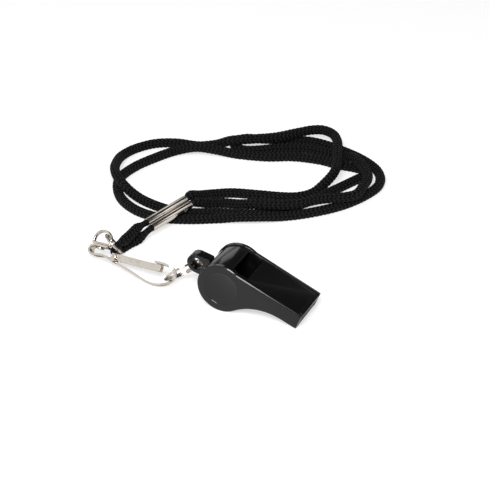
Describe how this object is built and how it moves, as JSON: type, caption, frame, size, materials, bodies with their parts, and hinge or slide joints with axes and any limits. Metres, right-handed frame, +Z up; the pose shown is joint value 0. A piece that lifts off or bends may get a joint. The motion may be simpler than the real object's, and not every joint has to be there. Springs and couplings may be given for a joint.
{
  "type": "sports whistle",
  "caption": "Black plastic pea whistle on a split ring and swivel snap hook, with a knitted neck cord crimped in a double metal ferrule.",
  "frame": {"origin": "on the table, under the middle of the whistle with its metal fittings", "axes": "+X towards the whistle's mouth, +Y away from the viewer towards the neck cord, +Z up"},
  "size_m": [0.1316, 0.1498, 0.021],
  "materials": {
    "whistle_plastic": "glossy black ABS",
    "nickel": "bright nickel plate on steel",
    "cork": "matt cork",
    "knitted_cord": "knitted polyester"
  },
  "bodies": {
    "cord": {"neck_cord": "knitted_cord", "end_loop": "knitted_cord", "ferrule": "nickel"},
    "link_ring": {"link_ring": "nickel"},
    "swivel": {"swivel_eye": "nickel", "swivel_rivet": "nickel"},
    "hook": {"hook_frame": "nickel", "gate_pin": "nickel", "gate_spring": "nickel"},
    "gate": {"hook_gate": "nickel"},
    "split_ring": {"split_ring": "nickel"},
    "whistle": {"barrel_body": "whistle_plastic", "near_side_plate": "whistle_plastic", "far_side_plate": "whistle_plastic"},
    "pea": {"pea": "cork"}
  },
  "joints": [
    {"name": "link_ring_swing", "type": "hinge", "parent": "cord", "child": "link_ring", "pos_m": [-0.04085, 0.01003, 0.00411], "axis": [-0.8067, 0.4667, 0.3626], "range_deg": [-12, 12]},
    {"name": "swivel_swing", "type": "hinge", "parent": "link_ring", "child": "swivel", "pos_m": [-0.04499, 0.00792, 0.01003], "axis": [0.1488, -0.8014, 0.5793], "range_deg": [-15, 5]},
    {"name": "hook_spin", "type": "hinge", "parent": "swivel", "child": "hook", "pos_m": [-0.04629, 0.00309, 0.0045], "axis": [0.0301, 0.6705, 0.7413], "continuous": true},
    {"name": "gate_swing", "type": "hinge", "parent": "hook", "child": "gate", "pos_m": [-0.03806, 0.00174, 0.00471], "axis": [-0.1369, -0.7319, 0.6675], "range_deg": [-12, 0], "stiffness_Nm_per_rad": 0.004, "springref_deg": 20.05},
    {"name": "split_ring_swing", "type": "hinge", "parent": "hook", "child": "split_ring", "pos_m": [-0.01109, -0.00379, 0.00414], "axis": [-0.0965, -0.9035, 0.4176], "range_deg": [-25, 25]},
    {"name": "whistle_swing", "type": "hinge", "parent": "split_ring", "child": "whistle", "pos_m": [0.00193, -0.00135, 0.01423], "axis": [0, 1, 0], "range_deg": [-30, 30]},
    {"name": "pea_roll", "type": "hinge", "parent": "whistle", "child": "pea", "pos_m": [0.01636, -0.00135, 0.0105], "axis": [0, 1, 0], "continuous": true}
  ]
}
